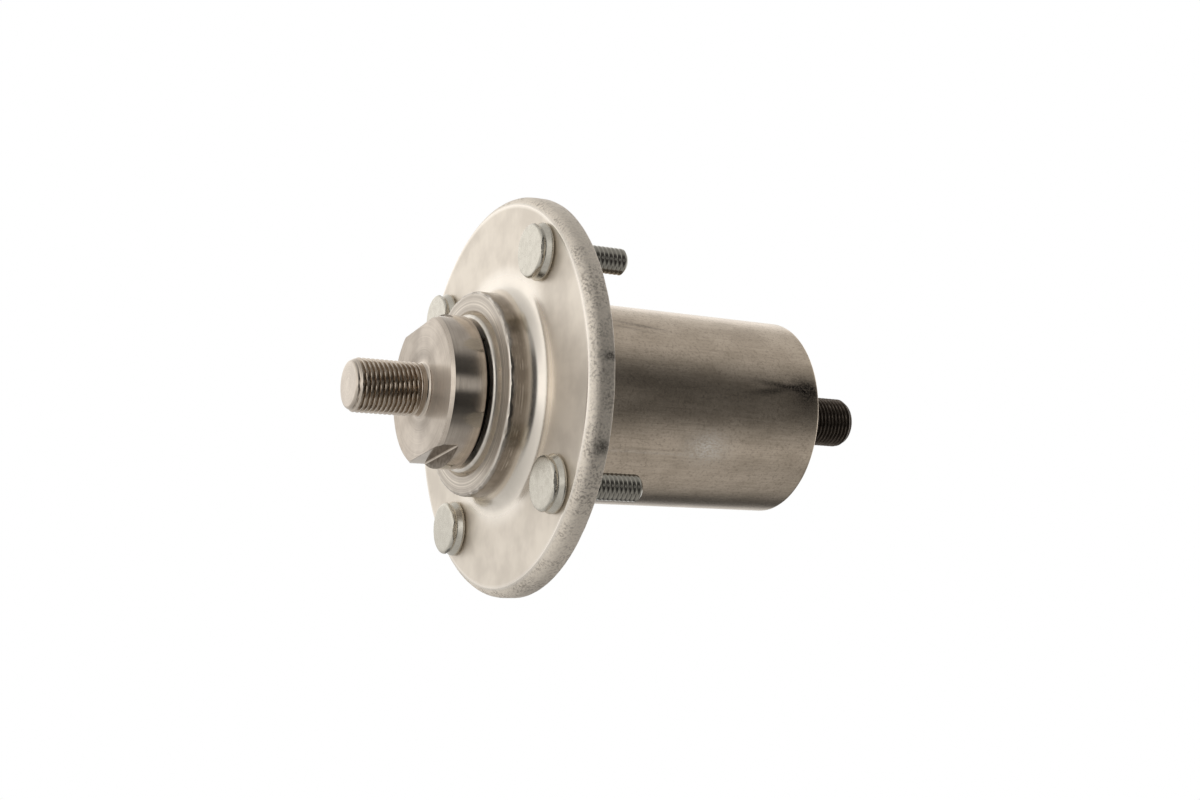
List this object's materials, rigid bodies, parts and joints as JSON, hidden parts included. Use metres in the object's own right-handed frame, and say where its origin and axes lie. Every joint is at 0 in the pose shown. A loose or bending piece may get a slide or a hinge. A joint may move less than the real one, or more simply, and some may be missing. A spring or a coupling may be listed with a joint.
{
  "type": "mower deck spindle",
  "caption": "Cast flanged spindle housing with a turned shaft on sealed ball bearings: blade hub with wrench flats and thread at one end, pulley thread at the other, bolts through the flange.",
  "frame": {"origin": "centre of the flange's upper face, which seats against the underside of the deck", "axes": "+Z along the shaft towards the pulley end, X through the hub's wrench flats"},
  "size_m": [0.12, 0.12, 0.174],
  "materials": {
    "cast_aluminium": "satin, as cast and tumbled",
    "plated_steel": "dull zinc plating",
    "turned_steel": "fine turned, lightly oiled",
    "spacer_steel": "drawn tube",
    "bearing_steel": "ground",
    "ball_steel": "polished",
    "cage_steel": "pressed sheet",
    "seal_rubber": "matt black"
  },
  "bodies": {
    "housing": {"spindle_housing": "cast_aluminium", "mounting_bolts": "plated_steel", "lower_bearing_outer_race": "bearing_steel", "lower_bearing_top_seal": "seal_rubber", "lower_bearing_bottom_seal": "seal_rubber", "upper_bearing_outer_race": "bearing_steel", "upper_bearing_top_seal": "seal_rubber", "upper_bearing_bottom_seal": "seal_rubber"},
    "shaft": {"spindle_shaft": "turned_steel", "bearing_spacer": "spacer_steel", "lower_bearing_inner_race": "bearing_steel", "upper_bearing_inner_race": "bearing_steel"},
    "lower_ball_set": {"lower_bearing_balls": "ball_steel", "lower_cage_top_half": "cage_steel", "lower_cage_bottom_half": "cage_steel", "lower_cage_rivets": "cage_steel"},
    "upper_ball_set": {"upper_bearing_balls": "ball_steel", "upper_cage_top_half": "cage_steel", "upper_cage_bottom_half": "cage_steel", "upper_cage_rivets": "cage_steel"}
  },
  "joints": [
    {"name": "shaft_spin", "type": "hinge", "parent": "housing", "child": "shaft", "pos_m": [0, 0, 0], "axis": [0, 0, 1], "continuous": true},
    {"name": "lower_ball_set_spin", "type": "hinge", "parent": "housing", "child": "lower_ball_set", "pos_m": [0, 0, 0], "axis": [0, 0, 1], "continuous": true},
    {"name": "upper_ball_set_spin", "type": "hinge", "parent": "housing", "child": "upper_ball_set", "pos_m": [0, 0, 0], "axis": [0, 0, 1], "continuous": true}
  ],
  "couplings": [
    {"joint": "lower_ball_set_spin", "follows": "shaft_spin", "ratio": 0.3815},
    {"joint": "upper_ball_set_spin", "follows": "shaft_spin", "ratio": 0.3815}
  ]
}
